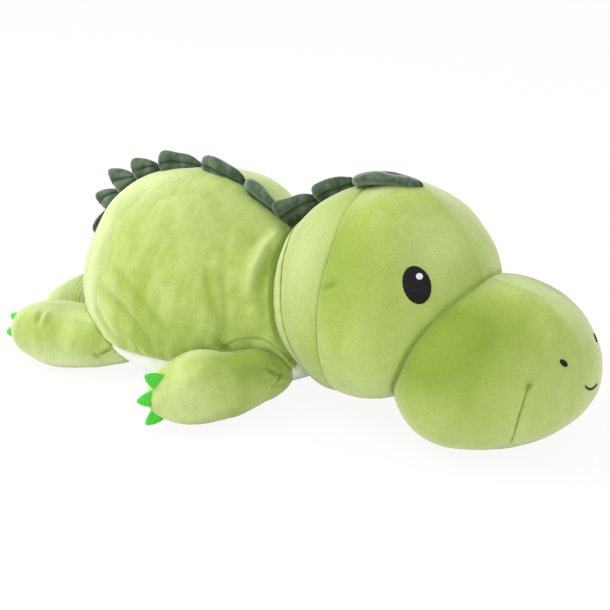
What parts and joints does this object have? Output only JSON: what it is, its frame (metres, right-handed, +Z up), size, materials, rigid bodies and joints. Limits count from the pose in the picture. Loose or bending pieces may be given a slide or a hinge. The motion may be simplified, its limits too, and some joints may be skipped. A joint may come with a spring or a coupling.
{
  "type": "weighted plush dinosaur",
  "caption": "Weighted plush dinosaur lying flat on its belly: egg-shaped body, big head with a broad muzzle, padded crest, flippers and a short tail.",
  "frame": {"origin": "on the floor, under the middle of the torso, at the centre of the flat spot that the belly rests on", "axes": "+X towards the muzzle, +Y to the animal's left, +Z up"},
  "size_m": [0.6125, 0.3538, 0.2231],
  "materials": {
    "minky": "short dense plush pile, lime green, soft sheen",
    "belly": "white short-pile plush",
    "crest": "grey-green plush, padded lobes",
    "felt": "vivid green felt",
    "thread_dark": "dark satin-stitched embroidery",
    "thread_white": "white satin-stitched embroidery",
    "fibre": "white polyester fibre fill",
    "lining": "woven lining cloth",
    "beads": "small round weighting beads"
  },
  "bodies": {
    "torso": {"torso_cover": "minky", "belly_panel": "belly", "fibre_fill": "fibre", "weight_bag": "lining", "bead_charge": "beads", "crest_lobe_04": "crest", "crest_lobe_05": "crest", "crest_lobe_06": "crest", "crest_lobe_07": "crest", "crest_lobe_08": "crest", "crest_lobe_09": "crest", "crest_lobe_10": "crest"},
    "neck": {"neck_band": "minky", "crest_lobe_03": "crest"},
    "head": {"head_back": "minky", "head": "minky", "muzzle": "minky", "eye_right": "thread_dark", "eye_left": "thread_dark", "eye_glint_right": "thread_white", "eye_glint_left": "thread_white", "nostril_right": "thread_dark", "nostril_left": "thread_dark", "smile": "thread_dark", "crest_lobe_01": "crest", "crest_lobe_02": "crest"},
    "arm_right": {"arm_right": "minky", "arm_right_claw_1": "felt", "arm_right_claw_2": "felt", "arm_right_claw_3": "felt"},
    "arm_left": {"arm_left": "minky", "arm_left_claw_1": "felt", "arm_left_claw_2": "felt", "arm_left_claw_3": "felt"},
    "leg_right": {"leg_right": "minky", "leg_right_claw_1": "felt", "leg_right_claw_2": "felt", "leg_right_claw_3": "felt"},
    "leg_left": {"leg_left": "minky", "leg_left_claw_1": "felt", "leg_left_claw_2": "felt", "leg_left_claw_3": "felt"},
    "tail": {"tail": "minky"}
  },
  "joints": [
    {"name": "head_turn", "type": "hinge", "parent": "torso", "child": "neck", "pos_m": [0.1615, 0, 0.097], "axis": [0, 0, 1], "range_deg": [-15, 15], "stiffness_Nm_per_rad": 1.2},
    {"name": "head_nod", "type": "hinge", "parent": "neck", "child": "head", "pos_m": [0.08909, 0, 0.17167], "axis": [0, -1, 0], "range_deg": [0, 12], "stiffness_Nm_per_rad": 1.2},
    {"name": "arm_right_swing", "type": "hinge", "parent": "torso", "child": "arm_right", "pos_m": [0.07847, -0.08149, 0.03673], "axis": [0, 0, 1], "range_deg": [-12, 12], "stiffness_Nm_per_rad": 0.3},
    {"name": "arm_left_swing", "type": "hinge", "parent": "torso", "child": "arm_left", "pos_m": [0.07847, 0.08149, 0.03673], "axis": [0, 0, 1], "range_deg": [-12, 12], "stiffness_Nm_per_rad": 0.3},
    {"name": "leg_right_swing", "type": "hinge", "parent": "torso", "child": "leg_right", "pos_m": [-0.09459, -0.07198, 0.033], "axis": [0, 0, 1], "range_deg": [-6, 10], "stiffness_Nm_per_rad": 0.3},
    {"name": "leg_left_swing", "type": "hinge", "parent": "torso", "child": "leg_left", "pos_m": [-0.09459, 0.07198, 0.033], "axis": [0, 0, 1], "range_deg": [-10, 6], "stiffness_Nm_per_rad": 0.3},
    {"name": "tail_wag", "type": "hinge", "parent": "torso", "child": "tail", "pos_m": [-0.1645, 0, 0.075], "axis": [0, 0, 1], "range_deg": [-8, 8], "stiffness_Nm_per_rad": 0.3}
  ]
}
